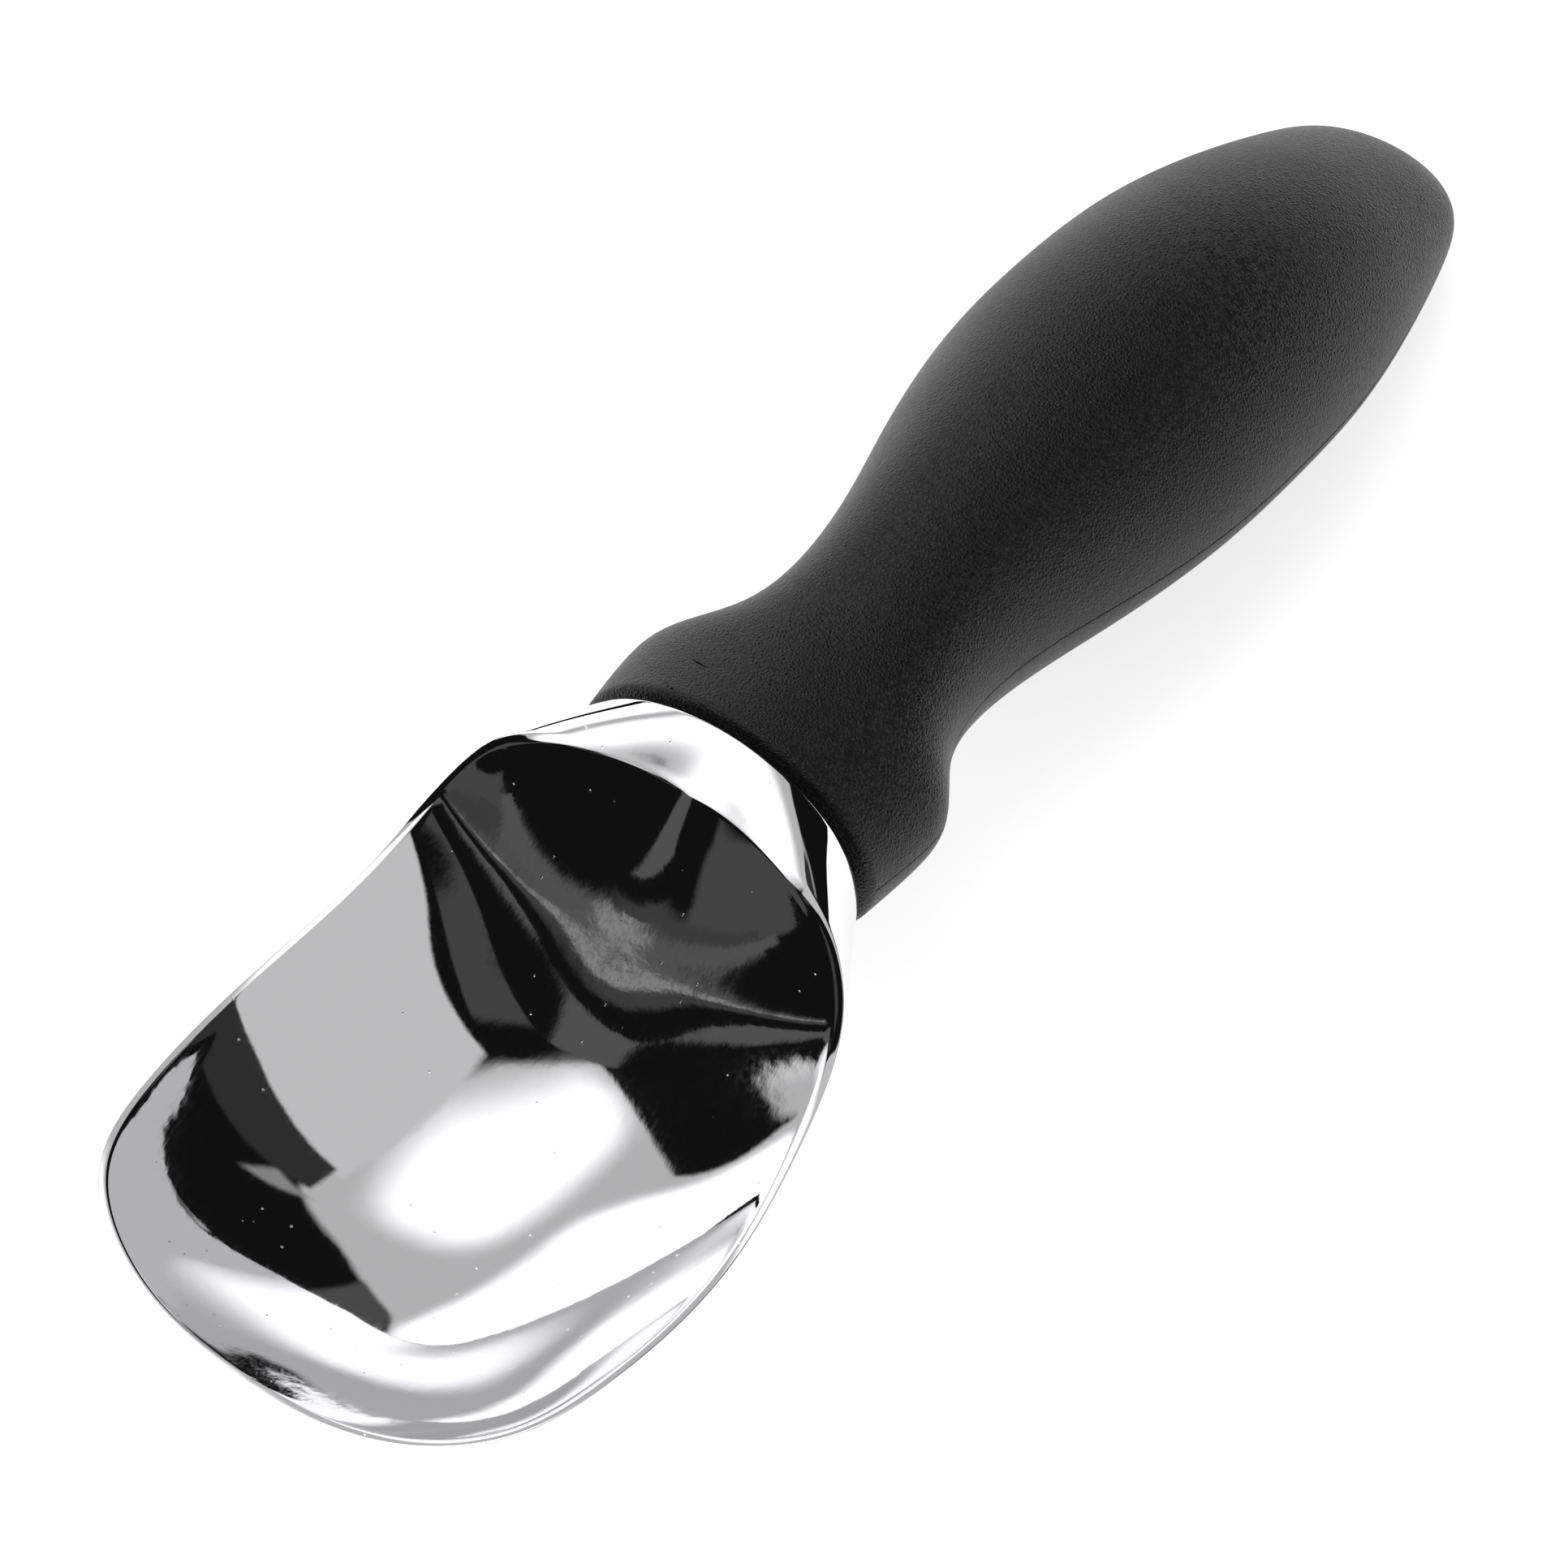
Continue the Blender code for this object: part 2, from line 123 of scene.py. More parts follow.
def smooth_through(knots, values, at, closed=False):
    """A smooth cubic through the knots, natural at its ends or closed on itself."""
    knots = np.asarray(knots, float)
    values = np.asarray(values, float).reshape(len(knots), -1)
    steps = np.diff(knots)
    slopes = np.diff(values, axis=0) / steps[:, None]
    count = len(knots) - 1 if closed else len(knots)
    matrix = np.eye(count)
    right = np.zeros((count, values.shape[1]))
    for i in range(count):
        if not closed and i in (0, count - 1):
            continue
        before = (i - 1) % len(steps)
        matrix[i, :] = 0
        matrix[i, (i - 1) % count] += steps[before]
        matrix[i, i] += 2 * (steps[before] + steps[i])
        matrix[i, (i + 1) % count] += steps[i]
        right[i] = 6 * (slopes[i] - slopes[before])
    bend = np.linalg.solve(matrix, right)
    if closed:
        bend = np.vstack([bend, bend[:1]])
    at = np.asarray(at, float)
    span = np.clip(np.searchsorted(knots, at, side="right") - 1, 0, len(steps) - 1)
    width = steps[span][:, None]
    far = ((at - knots[span])[:, None]) / width
    near = 1 - far
    line = near * values[span] + far * values[span + 1]
    return line + width**2 / 6 * ((near**3 - near) * bend[span] + (far**3 - far) * bend[span + 1])


def along(points):
    """Distance along a run of points, from 0 to 1."""
    walked = np.cumsum(np.linalg.norm(np.diff(points, axis=0), axis=1))
    return np.concatenate([[0], walked]) / walked[-1]


def round_the_rim(column, at):
    """The stations' points or directions, smooth round the loop; 0..1 is one side, 1..2 the other."""
    half = np.array([station[column] for station in RIM], float)
    places = np.array([station[0] for station in RIM], float)
    loop = np.vstack([half, half[-2::-1] * OTHER_SIDE])
    places = np.vstack([places, places[-2::-1] * OTHER_SIDE])
    return smooth_through(along(places) * 2, loop, np.asarray(at) % 2, closed=True)


def across_the_land(at):
    """Unit vectors across the rim's land, from its outer edge towards the bowl."""
    points = round_the_rim(0, at)
    step = 1e-4
    run = unit(round_the_rim(0, at + step) - round_the_rim(0, at - step))
    inward = np.array(BOWL_MIDDLE) - points
    return unit(inward - (inward * run).sum(axis=1)[:, None] * run)


def joint_oval(at, inset=0.0):
    """The oval of the joint, where the outer skin starts; inset draws it in for the spigot."""
    turn = math.pi * at + JOINT_CROWDING * np.sin(math.pi * at)
    tall = np.where(np.cos(turn) > 0, JOINT_TOP - JOINT_MIDDLE, JOINT_MIDDLE - JOINT_BOTTOM)
    y = (JOINT_HALF_WIDTH - inset) * np.sin(turn)
    z = JOINT_MIDDLE + (tall - inset) * np.cos(turn)
    return np.stack([0 * turn, y, z], axis=-1)


def bend_between(start, corner, end, steps):
    """Rows of points that round off a corner, without their first and last rows."""
    rows = []
    for t in np.linspace(0, 1, steps + 1)[1:-1]:
        rows.append((1 - t)**2 * start + 2 * t * (1 - t) * corner + t * t * end)
    return rows


def outer_skin(at, steps):
    """Rows from the joint's oval up to the rim, with the corners at both ends left for rounding."""
    start, end = joint_oval(at), round_the_rim(0, at)
    second, first = end + round_the_rim(1, at), start + round_the_rim(2, at)
    begin = (JOINT_ROUND / 3 / np.linalg.norm(first - start, axis=1))[:, None]
    finish = 1 - (RIM_ROUND / 3 / np.linalg.norm(end - second, axis=1))[:, None]
    rows = []
    for share in np.linspace(0, 1, steps):
        t = begin + (finish - begin) * share
        rest = 1 - t
        rows.append(rest**3 * start + 3 * t * rest**2 * first + 3 * t * t * rest * second + t**3 * end)
    return rows


def bowl_rows(edge, arc_steps):
    """Rows across the inside of the bowl, each an arc hung from the rim's edge through the keel."""
    steps = len(edge) - 1
    keel = np.array(KEEL, float)
    keel[0] = edge[0, [0, 2]]
    keel[-1] = edge[-1, [0, 2]]
    at = np.linspace(0, 1, steps + 1)
    eased = (1 - np.cos(math.pi * at)) / 2
    keel = smooth_through(along(keel), keel, eased + HOOD_LEAN * (1 - at)**2 * (at - eased))
    rows = []
    for place, (x, wide, z), (low_x, low_z) in zip(at, edge, keel):
        opening = LEAST_OPENING + (MOST_OPENING - LEAST_OPENING) * math.sin(math.pi * place)
        turn = np.linspace(-opening, opening, arc_steps + 1)
        rise = (1 - np.cos(turn)) / (1 - math.cos(opening))
        across = np.sin(turn) / math.sin(opening)
        run, height = low_x + (x - low_x) * rise, low_z + (z - low_z) * rise
        rows.append(np.stack([run, wide * across, height], axis=-1))
    return np.array(rows)


def strip(mesh, first, second):
    """Quads between two closed rings of vertices."""
    for i in range(len(first)):
        j = (i + 1) % len(first)
        mesh.faces.new([first[i], first[j], second[j], second[i]])


def finished(name, mesh, sharp_angle=60):
    """Turns the working mesh into an object with outward faces and smooth shading."""
    bmesh.ops.remove_doubles(mesh, verts=mesh.verts, dist=2e-6)
    bmesh.ops.recalc_face_normals(mesh, faces=mesh.faces)
    data = bpy.data.meshes.new(name)
    mesh.to_mesh(data)
    mesh.free()
    data.shade_smooth()
    data.set_sharp_from_angle(angle=math.radians(sharp_angle))
    made = bpy.data.objects.new(name, data)
    bpy.context.scene.collection.objects.link(made)
    return made


def cast_head():
    """The casting's surface, from the end of the tang over the outer skin and the rim into the bowl."""
    side_steps, skin_steps, arc_steps, edge_steps = 130, 44, 72, 4
    at = np.concatenate([np.linspace(0, 1, side_steps + 1), np.linspace(1, 2, side_steps + 1)[1:-1]])
    skin = outer_skin(at, skin_steps)
    rim, land = round_the_rim(0, at), across_the_land(at)
    inner = rim + RIM_LAND * land

    # How the inside leaves the rim, so that it can start past the rounding of the inner edge
    plain = bowl_rows(inner[:side_steps + 1], arc_steps)
    away = unit(plain[:, 1] - plain[:, 0])
    away[0] = unit(plain[1, arc_steps // 2] - plain[0, 0])
    away[-1] = unit(plain[-2, arc_steps // 2] - plain[-1, 0])
    edge = inner[:side_steps + 1] + RIM_ROUND * away * OTHER_SIDE
    inside = bowl_rows(edge, arc_steps)
    inside_loop = np.vstack([edge, edge[-2:0:-1] * OTHER_SIDE])

    seat = joint_oval(at, SPIGOT_INSET)
    shoulder = joint_oval(at, JOINT_ROUND)
    back = seat + [SPIGOT_LENGTH, 0, 0]
    corner = np.abs(back[:, 1:] / TANG_HALF).max(axis=1)
    tang = back.copy()
    tang[:, 1:] /= corner[:, None]
    tang_end = tang * [0, *TANG_END] + [TANG_LENGTH, 0, 0]
    rings = [tang_end, tang + [TANG_ROOT, 0, 0], tang, back, seat, shoulder]
    rings += bend_between(shoulder, joint_oval(at), skin[0], edge_steps)
    rings += skin
    land_start = rim + RIM_ROUND * land
    land_end = inner - RIM_ROUND * land
    rings += bend_between(skin[-1], rim, land_start, edge_steps)
    rings += [land_start, land_end]
    rings += bend_between(land_end, inner, inside_loop, edge_steps)

    mesh = bmesh.new()
    made = [[mesh.verts.new(p) for p in laid_down(ring)] for ring in rings]
    mesh.faces.new(made[0])
    for first, second in zip(made, made[1:]):
        strip(mesh, first, second)
    grid = [[mesh.verts.new(p) for p in laid_down(row)] for row in inside]
    strip(mesh, made[-1], [row[-1] for row in grid] + [row[0] for row in grid[-2:0:-1]])
    for first, second in zip(grid, grid[1:]):
        for i in range(arc_steps):
            mesh.faces.new([first[i], first[i + 1], second[i + 1], second[i]])
    return finished("cast_head", mesh)


def nodes_of(name, colour, roughness, metallic=0.0):
    """A new material with its Principled shader set, and a function that adds joined nodes to it."""
    made = bpy.data.materials.new(name)
    made.use_nodes = True
    tree = made.node_tree
    shader = tree.nodes["Principled BSDF"]
    shader.inputs["Base Color"].default_value = (*colour, 1)
    shader.inputs["Roughness"].default_value = roughness
    shader.inputs["Metallic"].default_value = metallic

    def add(kind, inputs=None, **settings):
        node = tree.nodes.new(kind)
        for key, value in settings.items():
            setattr(node, key, value)
        for key, value in (inputs or {}).items():
            if isinstance(value, bpy.types.NodeSocket):
                tree.links.new(value, node.inputs[key])
            else:
                node.inputs[key].default_value = value
        return node

    return made, shader, add, tree.links.new


def chrome_plate():
    """Bright plate over polished metal: faint swells, fine wiping scratches and a few pits."""
    made, shader, add, join = nodes_of("chrome_plate", (0.86, 0.865, 0.875), 0.03, 1.0)
    place = add("ShaderNodeTexCoord").outputs["Object"]
    swell = add("ShaderNodeTexNoise", {"Vector": place, "Scale": 60, "Detail": 4})
    stretched = add("ShaderNodeMapping", {"Vector": place, "Scale": (400, 2600, 2600),
                                          "Rotation": (0, 0.4, 0.5)})
    wiping = add("ShaderNodeTexNoise", {"Vector": stretched.outputs[0], "Scale": 1, "Detail": 3})
    pits = add("ShaderNodeTexVoronoi", {"Vector": place, "Scale": 420})
    pit = add("ShaderNodeMapRange", {"Value": pits.outputs["Distance"], "From Min": 0.03, "From Max": 0.06})
    first = add("ShaderNodeBump", {"Height": swell.outputs["Fac"], "Strength": 0.10, "Distance": 0.0004})
    second = add("ShaderNodeBump", {"Height": wiping.outputs["Fac"], "Strength": 0.02, "Distance": 0.00005,
                                    "Normal": first.outputs[0]})
    third = add("ShaderNodeBump", {"Height": pit.outputs[0], "Strength": 0.25, "Distance": 0.0001,
                                   "Normal": second.outputs[0]})
    dull = add("ShaderNodeMapRange", {"Value": wiping.outputs["Fac"], "From Min": 0.35, "From Max": 0.75,
                                      "To Min": 0.015, "To Max": 0.06})
    join(third.outputs[0], shader.inputs["Normal"])
    join(dull.outputs[0], shader.inputs["Roughness"])
    return made


head = cast_head()
head.data.materials.append(chrome_plate())
for pin, distance in PIN_PLACES.items():
    bpy.ops.mesh.primitive_cylinder_add(vertices=32, radius=PIN_HOLE_RADIUS / 1000,
                                        depth=DRILL_LENGTH / 1000)
    drill = bpy.context.object
    drill.rotation_euler = (math.radians(90), 0, 0)
    drill.location = laid_down([distance, 0, 0])
    hole = head.modifiers.new("hole_" + pin, "BOOLEAN")
    hole.solver = "EXACT"
    hole.object = drill
    bpy.context.view_layer.objects.active = head
    bpy.ops.object.modifier_apply(modifier=hole.name)
    bpy.data.objects.remove(drill)
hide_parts("scoop_head")
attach(head, "root")

# ---------------------------------------------------------------------------------------------
# The ring at the joint. A thin black ring lies in the groove between the collar and the grip, pressed on to
# the spigot. Its black is painted shade: a dark ring put where the groove between the parts only lies in
# shadow.


# Near-black rough finish for the ring at the joint: painted shade for the shadowed groove between collar
# and grip.
def seal_rubber():
    made, shader, add, join = nodes_of("seal_rubber", (0.012, 0.012, 0.012), 0.6)
    place = add("ShaderNodeTexCoord").outputs["Object"]
    skin = add("ShaderNodeTexNoise", {"Vector": place, "Scale": 900, "Detail": 2})
    dents = add("ShaderNodeBump", {"Height": skin.outputs["Fac"], "Strength": 0.2, "Distance": 0.0001})
    join(dents.outputs[0], shader.inputs["Normal"])
    return made


def repaint(node, paint):
    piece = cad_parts[node]
    piece.data.materials.clear()
    piece.data.materials.append(paint)


# The ring at the joint gets the painted shade of the groove.
repaint("joint_seal", seal_rubber())

# ---------------------------------------------------------------------------------------------
# The core. Two ribbed halves moulded in dark grey plastic close round the tang, and two plain
# steel pins through the tang lie in saddles on their split line. All of it is inside the grip.


def core_plastic():
    made, shader, add, join = nodes_of("core_plastic", (0.10, 0.10, 0.11), 0.45)
    place = add("ShaderNodeTexCoord").outputs["Object"]
    spark = add("ShaderNodeTexNoise", {"Vector": place, "Scale": 1500, "Detail": 1})
    texture = add("ShaderNodeBump", {"Height": spark.outputs["Fac"], "Strength": 0.15, "Distance": 0.0001})
    join(texture.outputs[0], shader.inputs["Normal"])
    return made


def drawn_steel():
    made, shader, add, join = nodes_of("drawn_steel", (0.55, 0.55, 0.56), 0.3, 1.0)
    place = add("ShaderNodeTexCoord").outputs["Object"]
    drawn = add("ShaderNodeMapping", {"Vector": place, "Scale": (4000, 150, 4000)})
    lines = add("ShaderNodeTexNoise", {"Vector": drawn.outputs[0], "Scale": 1, "Detail": 2})
    shine = add("ShaderNodeMapRange", {"Value": lines.outputs["Fac"], "To Min": 0.2, "To Max": 0.42})
    join(shine.outputs[0], shader.inputs["Roughness"])
    return made


core_finish = core_plastic()
pin_finish = drawn_steel()
for half in ("core_upper", "core_lower"):
    repaint(half, core_finish)
for pin in PIN_PLACES:
    repaint(pin, pin_finish)

# ---------------------------------------------------------------------------------------------
# The grip. Soft black elastomer is moulded over the core in a two-part mould, which gives it a fine
# leather grain and leaves a hairline down each side. It flares at the joint, narrows at the neck for
# the first finger, swells for the palm and droops to a round butt.

# Its outlines along the handle, each as pairs of a distance from the joint and a value
HANDLE_LENGTH = 127.4
HALF_WIDTH = [(0, 17.1), (4, 17.8), (9.5, 18.4), (14, 17.8), (20, 14.1), (29, 12.0), (40, 13.3),
              (50, 15.8), (64, 18.3), (77, 18.8), (90, 18.2), (103, 16.0), (115, 13.0), (122, 10.2),
              (HANDLE_LENGTH, 0)]
TOP = [(0, 12.6), (9, 11.6), (20, 11.2), (36, 15.2), (60, 18.4), (90, 16.0), (113, 7.5),
       (HANDLE_LENGTH, -4.0)]
BOTTOM = [(0, -13.8), (9, -11.8), (20, -9.8), (40, -10.5), (75, -8.8), (107, -10.2), (121, -9.5),
          (HANDLE_LENGTH, -4.0)]
PARTING = [(0, -0.6), (20, 0.3), (60, 1.0), (100, -1.0), (HANDLE_LENGTH, -4.0)]
GRIP_FRONT = 1.6
GRIP_SKIN = 3.0
GRIP_ROUND = 0.9
# The last ring's distance from the tip of the butt
BUTT_GAP = 0.02
# The hairline: its size and how far from the tip it ends, how much wider and deeper it is at the
# joint, over what distance that fades, and its angles round the grip up to where plain spacing starts
LINE_HALF_WIDTH = 0.11
LINE_DEPTH = 0.10
LINE_END = 1.0
NOTCH_WIDER = 2.5
NOTCH_DEEPER = 3
NOTCH_REACH = 0.8
LINE_TURNS = (-0.030, -0.018, -0.009, 0, 0.009, 0.018, 0.030)
PLAIN_TURN = 0.075
# A nick and three pits in the skin on top, near the joint: centre and reach as the grip lies, and
# the way that they all point
GRIP_MARKS = [
    ((-17.78, 7.79, 34.09), (1.5, 0.16, 0.6)),
    ((-22.2, 8.34, 34.75), (0.22, 0.18, 0.4)),
    ((-22.35, 7.74, 34.98), (0.28, 0.16, 0.4)),
    ((-21.79, 8.74, 34.51), (0.14, 0.12, 0.4)),
]
MARKS_TURN = Vector((-0.58, -2.68, 0.98)).to_track_quat("X", "Z").to_euler()


def share_along(distance):
    """Distance from the joint as a share 0..1 that runs slowly at the joint and at the butt."""
    return np.arccos(1 - 2 * np.asarray(distance, float) / HANDLE_LENGTH) / math.pi


def outline(stations, share):
    knots = share_along([x for x, _ in stations])
    return smooth_through(knots, [value for _, value in stations], share)[:, 0]


def grip_rings(share, inset, turn):
    """Rings round the grip, drawn in from its surface by an inset that may change along it."""
    x = HANDLE_LENGTH * (1 - np.cos(math.pi * share)) / 2
    middle = outline(PARTING, share)
    wide = outline(HALF_WIDTH, share) - inset
    up = outline(TOP, share) - inset - middle
    down = middle - outline(BOTTOM, share) - inset
    tall = np.where(np.sin(turn) > 0, up[:, None], down[:, None])
    across, height = wide[:, None] * np.cos(turn), middle[:, None] + tall * np.sin(turn)
    return np.stack([x[:, None] + 0 * turn, across, height], axis=-1)


def moulded_grip():
    """The sleeve, from the butt along its outside, round the front edge and back along its inside."""
    side_steps, length_steps, inner_steps, edge_steps = 58, 150, 24, 6
    half_turn = np.concatenate([LINE_TURNS, np.linspace(PLAIN_TURN, math.pi - PLAIN_TURN, side_steps)])
    turn = np.concatenate([half_turn, half_turn + math.pi])
    edge = share_along(GRIP_FRONT + GRIP_ROUND)
    share = np.linspace(edge, share_along(HANDLE_LENGTH - BUTT_GAP), length_steps)
    rings = grip_rings(share, 0 * share, turn)

    # The hairline on each side, a shallow groove that opens to a small notch at the joint
    away = np.abs(np.sin(turn)) * outline(HALF_WIDTH, share)[:, None]
    x = rings[:, :, 0]
    notch = np.exp(-(x - GRIP_FRONT) / NOTCH_REACH)
    opening = LINE_HALF_WIDTH * (1 + NOTCH_WIDER * notch)
    depth = LINE_DEPTH * (1 + NOTCH_DEEPER * notch)
    fall = depth * np.clip(1 - away / opening, 0, 1)
    rings[:, :, 1] -= np.sign(rings[:, :, 1]) * fall * (x < HANDLE_LENGTH - LINE_END)

    # The rounded front edge, and the inside, which the first of its rings joins to that edge
    lip = []
    for angle in np.linspace(0, math.pi / 2, edge_steps + 1)[1:]:
        inset = GRIP_ROUND * (1 - math.cos(angle))
        near = grip_rings(np.array([edge]), np.array([inset]), turn)[0]
        near[:, 0] = GRIP_FRONT + GRIP_ROUND * (1 - math.sin(angle))
        lip.append(near)
    back = HANDLE_LENGTH - 2 * GRIP_SKIN
    inner_share = np.linspace(share_along(GRIP_FRONT), share_along(back), inner_steps)
    inner = grip_rings(inner_share, GRIP_SKIN + 0 * inner_share, turn)
    stack = list(rings[::-1]) + lip + list(inner)

    mesh = bmesh.new()
    made = [[mesh.verts.new(p) for p in laid_down(ring)] for ring in stack]
    for one, other in zip(made, made[1:]):
        strip(mesh, one, other)
    ends = ((made[0], HANDLE_LENGTH, TOP[-1][1]), (made[-1], back, np.mean(stack[-1][:, 2])))
    for ring, distance, level in ends:
        middle = mesh.verts.new(laid_down([distance, 0, level]))
        for i in range(len(ring)):
            mesh.faces.new([ring[i], ring[(i + 1) % len(ring)], middle])
    return finished("moulded_grip", mesh)


def soft_black():
    """Near-black elastomer with the mould's fine wrinkled grain, and a nick and pits by the joint."""
    made, shader, add, join = nodes_of("soft_black", (0.005, 0.005, 0.0053), 0.42)
    shader.inputs["Sheen Weight"].default_value = 0.16
    shader.inputs["Sheen Roughness"].default_value = 0.35
    place = add("ShaderNodeTexCoord").outputs["Object"]
    drift = add("ShaderNodeTexNoise", {"Vector": place, "Scale": 900, "Detail": 2})
    moved = add("ShaderNodeVectorMath", {0: drift.outputs["Color"], 1: (0.0007, 0.0007, 0.0007)},
                operation="MULTIPLY")
    bent = add("ShaderNodeVectorMath", {0: place, 1: moved.outputs[0]})
    grain = add("ShaderNodeTexVoronoi", {"Vector": bent.outputs[0], "Scale": 2300},
                feature="DISTANCE_TO_EDGE")
    pebble = add("ShaderNodeMapRange", {"Value": grain.outputs["Distance"], "From Max": 0.35})
    first = add("ShaderNodeBump", {"Height": pebble.outputs[0], "Strength": 0.6, "Distance": 0.00012})

    whole = 1.0
    for centre, size in GRIP_MARKS:
        reach = add("ShaderNodeMapping", {"Vector": place, "Location": np.array(centre) / 1000,
                                          "Rotation": MARKS_TURN, "Scale": np.array(size) / 1000},
                    vector_type="TEXTURE")
        away = add("ShaderNodeVectorMath", {0: reach.outputs[0]}, operation="LENGTH")
        sound = add("ShaderNodeMapRange", {"Value": away.outputs["Value"], "From Min": 0.6})
        whole = add("ShaderNodeMath", {0: sound.outputs[0], 1: whole}, operation="MULTIPLY").outputs[0]
    second = add("ShaderNodeBump", {"Height": whole, "Strength": 1.0, "Distance": 0.0003,
                                    "Normal": first.outputs[0]})
    shiny = add("ShaderNodeMapRange", {"Value": whole, "To Max": 0.34})
    join(shiny.outputs[0], shader.inputs["Specular IOR Level"])
    join(second.outputs[0], shader.inputs["Normal"])
    rub = add("ShaderNodeTexNoise", {"Vector": place, "Scale": 45, "Detail": 4})
    shine = add("ShaderNodeMapRange", {"Value": rub.outputs["Fac"], "From Min": 0.3, "From Max": 0.7,
                                       "To Min": 0.38, "To Max": 0.48})
    join(shine.outputs[0], shader.inputs["Roughness"])
    return made


grip = moulded_grip()
grip.data.materials.append(soft_black())
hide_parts("soft_grip")
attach(grip, "root")

# ---------------------------------------------------------------------------------------------
# The table and the studio: a seamless white sheet, soft lights overhead, and a long lens that
# looks down on the bowl from the front and the near side. Sizes here are in metres, apart from the
# lens's own, which are in millimetres.


def lit_sheet():
    """A white acrylic sheet, lit softly from below and from above."""
    made, shader, add, join = nodes_of("lit_sheet", (0.9, 0.9, 0.9), 0.55)
    shader.inputs["Emission Color"].default_value = (1, 1, 1, 1)
    shader.inputs["Emission Strength"].default_value = 0.72
    place = add("ShaderNodeTexCoord").outputs["Object"]
    tooth = add("ShaderNodeTexNoise", {"Vector": place, "Scale": 300, "Detail": 2})
    paper = add("ShaderNodeBump", {"Height": tooth.outputs["Fac"], "Strength": 0.05, "Distance": 0.0002})
    join(paper.outputs[0], shader.inputs["Normal"])
    return made


TABLE_SIZE = 0.9
bpy.ops.mesh.primitive_plane_add(size=TABLE_SIZE, location=(0, 0, 0))
table = bpy.context.object
table.name = "table"
table.data.materials.append(lit_sheet())

# The diffusers, level sheets that hang over the table in a dark room: the glow of each, how soft its
# edge is, and its corners, anticlockwise, as distances across for one unit of height above the
# table. A later one hides those before it.
DIFFUSERS = [
    (0.50, 0.08, [(-1.65, 0.93), (-0.8, 0.2), (-0.1, -0.17), (0.95, -0.42), (1.9, 1.0), (1.9, 1.3),
                  (-1.5, 1.3)]),
    (0.50, 0.08, [(-1.5, 1.05), (2.2, 1.05), (6, 5), (6, 9), (-1.5, 9)]),
    (1.50, 0.40, [(-1.35, 0.78), (0.0, -0.08), (0.6, 0.0), (0.5, 0.6), (-0.9, 1.02)]),
    (1.40, 0.30, [(0.15, 1.05), (1.8, 1.12), (2.6, 1.5), (6, 4.5), (6, 9), (-0.6, 9), (-0.3, 2.2),
                  (-0.12, 1.4)]),
    (0.006, 0.10, [(0.95, -0.45), (5, -3), (5, 2.6), (2.3, 1.3), (1.7, 0.92), (1.3, 0.45), (1.05, 0.1)]),
    (0.58, 0.05, [(-0.78, 0.13), (-0.8, -0.15), (-0.6, -1.4), (0.97, -1.4), (0.62, -0.25)]),
    (0.58, 0.05, [(-0.6, -1.3), (-0.5, -9), (4.3, -9), (0.93, -1.3)]),
    (0.03, 0.04, [(0.6, -0.3), (0.95, -1.4), (1.5, -2.6), (2.3, -2.6), (0.88, -0.35)]),
    (0.26, 0.05, [(0.92, -0.3), (1.05, -0.62), (1.42, -0.9), (1.12, -0.5)]),
    (0.075, 0.10, [(1.25, 0.38), (2.1, 0.3), (2.3, 1.25), (1.7, 0.92)]),
    (0.006, 0.06, [(-1.5, 0.84), (-1.15, 0.98), (-0.9, 1.12), (-0.68, 1.3), (-0.4, 1.67), (-0.27, 3.07),
                   (-0.25, 9), (-9, 9), (-9, 0.87)]),
    (0.065, 0.30, [(-2.34, 2.18), (-22, 20.5), (-27.6, 11.7), (-2.95, 1.25)]),
    (0.05, 0.15, [(-1.2, -0.2), (-3.2, -0.3), (-3.5, -2.0), (-1.6, -0.9)]),
    (0.09, 0.04, [(-2.21, 0.84), (-1.39, 0.54), (-1.55, 0.91), (-1.95, 1.02)]),
    (0.06, 0.04, [(-1.45, 0.36), (-0.98, 0.0), (-0.9, 0.07), (-1.4, 0.46)]),
    (0.05, 0.10, [(-2.45, 0.96), (-2.4, 1.12), (-7.2, 3.35), (-7.5, 2.9)]),
    (0.09, 0.05, [(-2.66, 1.03), (-2.62, 1.10), (-11.0, 4.75), (-11.4, 4.55)]),
    (0.26, 0.04, [(-2.62, 1.04), (-2.61, 1.08), (-2.74, 1.13), (-2.76, 1.10)]),
]
ROOM_GLOW = 0.006
# The least height that a direction's run is divided by, which keeps level directions finite
LEAST_HEIGHT = 0.02


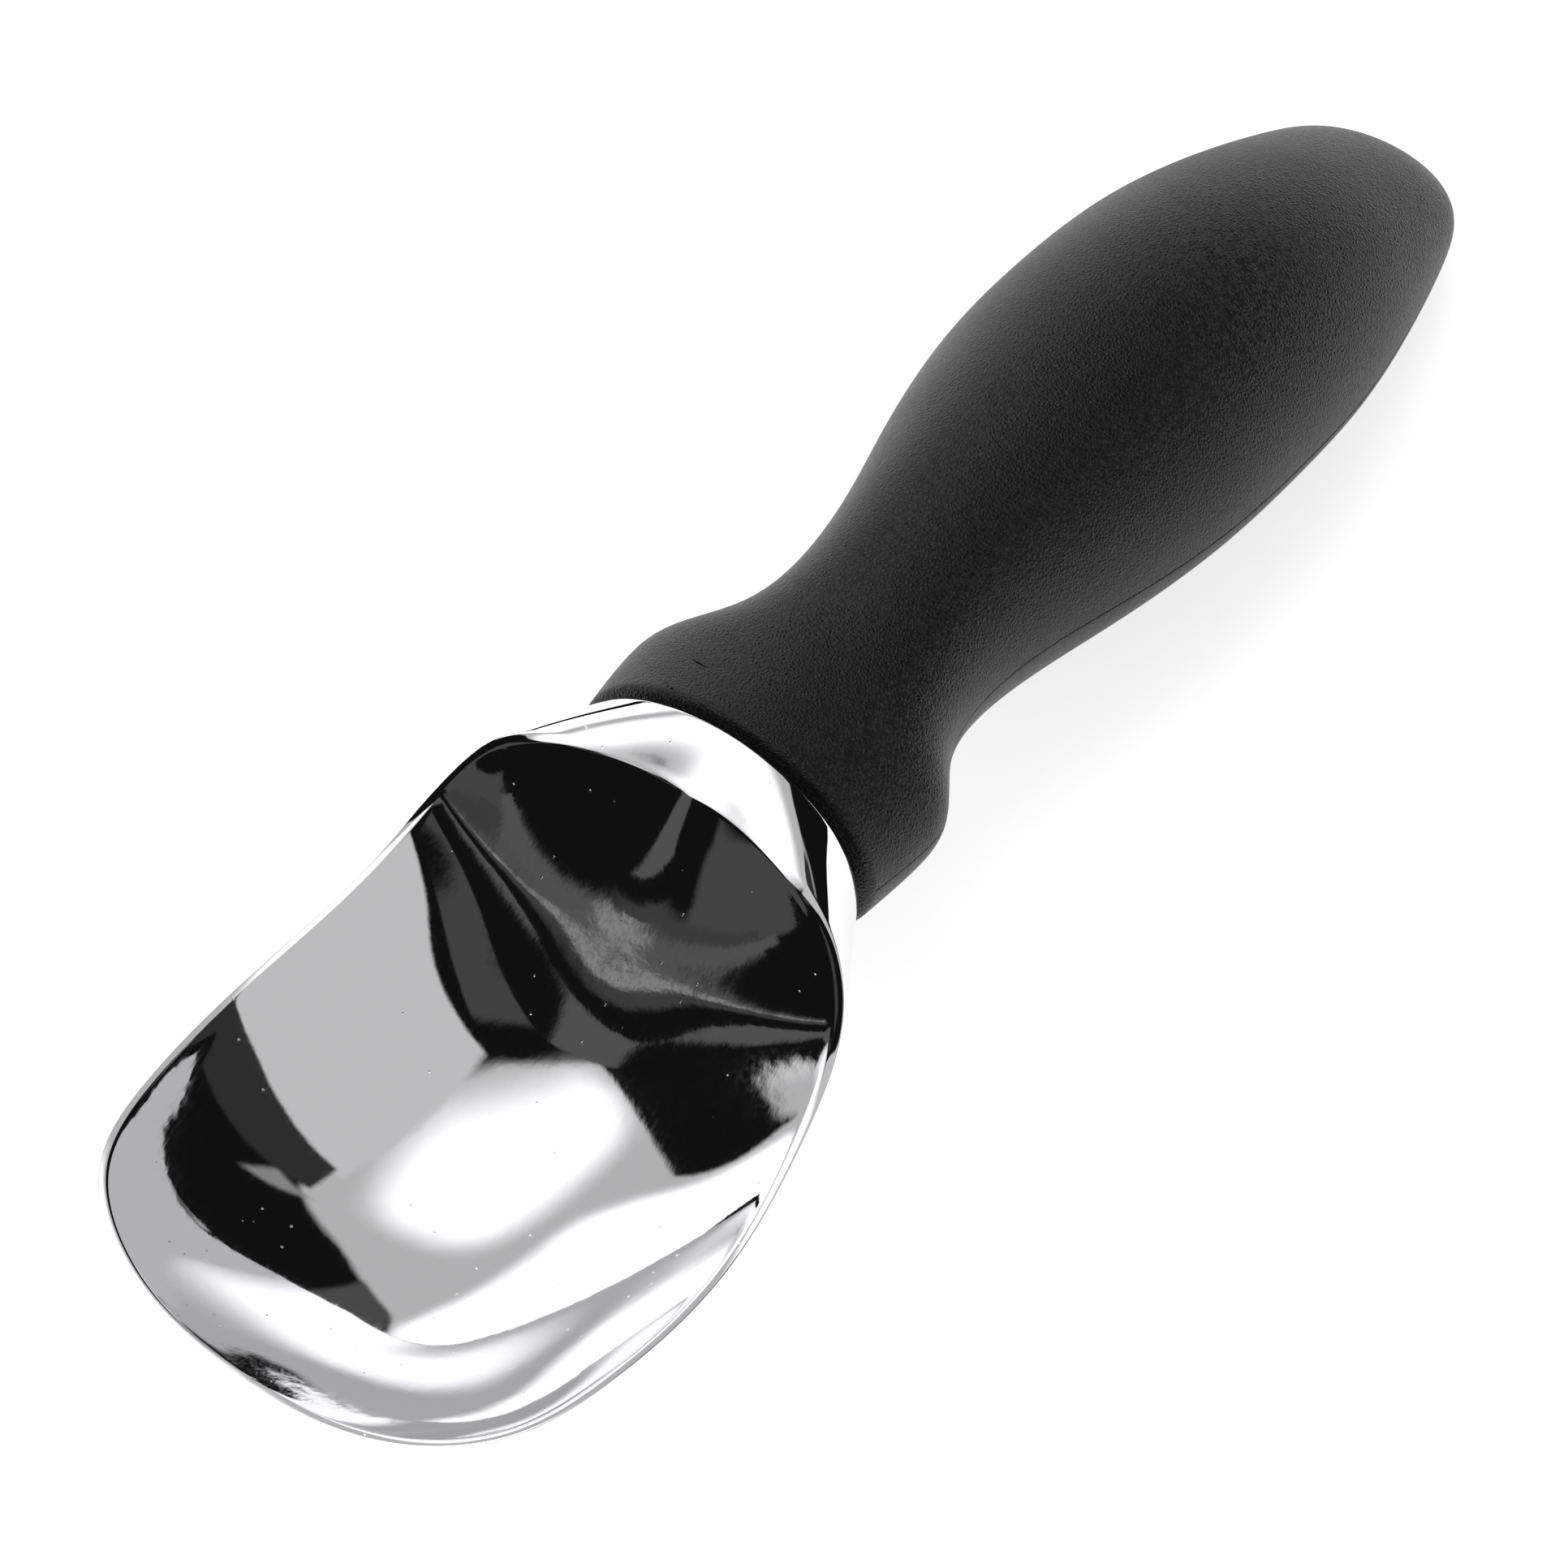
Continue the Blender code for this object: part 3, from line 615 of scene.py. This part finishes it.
def studio_round():
    """The room round the table, as light comes from it: dark, with the diffusers overhead."""
    world = bpy.data.worlds.new("studio")
    world.use_nodes = True
    tree = world.node_tree
    tree.nodes.clear()

    def add(kind, *inputs, **settings):
        node = tree.nodes.new(kind)
        for key, value in settings.items():
            setattr(node, key, value)
        for socket, value in zip(node.inputs, inputs):
            if isinstance(value, bpy.types.NodeSocket):
                tree.links.new(value, socket)
            elif value is not None:
                socket.default_value = value
        return node.outputs[0]

    def maths(operation, *inputs):
        return add("ShaderNodeMath", *inputs, operation=operation)

    def ramp(value, low, high):
        return add("ShaderNodeMapRange", value, low, high, interpolation_type="SMOOTHSTEP")

    towards = tree.nodes.new("ShaderNodeTexCoord").outputs["Generated"]
    split = tree.nodes.new("ShaderNodeSeparateXYZ")
    tree.links.new(towards, split.inputs[0])
    up = maths("MAXIMUM", split.outputs["Z"], LEAST_HEIGHT)
    level = add("ShaderNodeCombineXYZ", maths("DIVIDE", split.outputs["X"], up),
                maths("DIVIDE", split.outputs["Y"], up), 1.0)
    glow = ROOM_GLOW
    for brightness, soft, corners in DIFFUSERS:
        inside = 1.0
        for (ax, ay), (bx, by) in zip(corners, corners[1:] + corners[:1]):
            length = math.hypot(bx - ax, by - ay)
            side = ((ay - by) / length, (bx - ax) / length)
            line = (*side, -(side[0] * ax + side[1] * ay))
            product = tree.nodes.new("ShaderNodeVectorMath")
            product.operation = "DOT_PRODUCT"
            tree.links.new(level, product.inputs[0])
            product.inputs[1].default_value = line
            inside = maths("MULTIPLY", inside, ramp(product.outputs["Value"], -soft / 2, soft / 2))
        glow = add("ShaderNodeMix", inside, None, glow, brightness)

    # Past the edge of the sheet the camera itself sees a plain white backdrop
    seen = tree.nodes.new("ShaderNodeLightPath").outputs["Is Camera Ray"]
    shown = add("ShaderNodeMix", seen, None, glow, 1.0)
    background = tree.nodes.new("ShaderNodeBackground")
    tree.links.new(shown, background.inputs["Strength"])
    output = tree.nodes.new("ShaderNodeOutputWorld")
    tree.links.new(background.outputs[0], output.inputs[0])
    background.inputs["Color"].default_value = (1, 1, 1, 1)
    return world


bpy.context.scene.world = studio_round()
bpy.context.scene.view_settings.view_transform = "Standard"

CAMERA_PLACE = (-0.33365, -0.22925, 0.54912)
CAMERA_AIM = (-0.02006, -0.00394, 0.02624)
SENSOR_WIDTH = 36
FOCAL_LENGTH = 153.5
lens = bpy.data.cameras.new("long_lens")
lens.sensor_width = SENSOR_WIDTH
lens.lens = FOCAL_LENGTH
lens.clip_start = 0.01
camera = bpy.data.objects.new("camera", lens)
camera.location = CAMERA_PLACE
camera.rotation_euler = (Vector(CAMERA_AIM) - Vector(CAMERA_PLACE)).to_track_quat("-Z", "Y").to_euler()
bpy.context.scene.collection.objects.link(camera)
bpy.context.scene.camera = camera
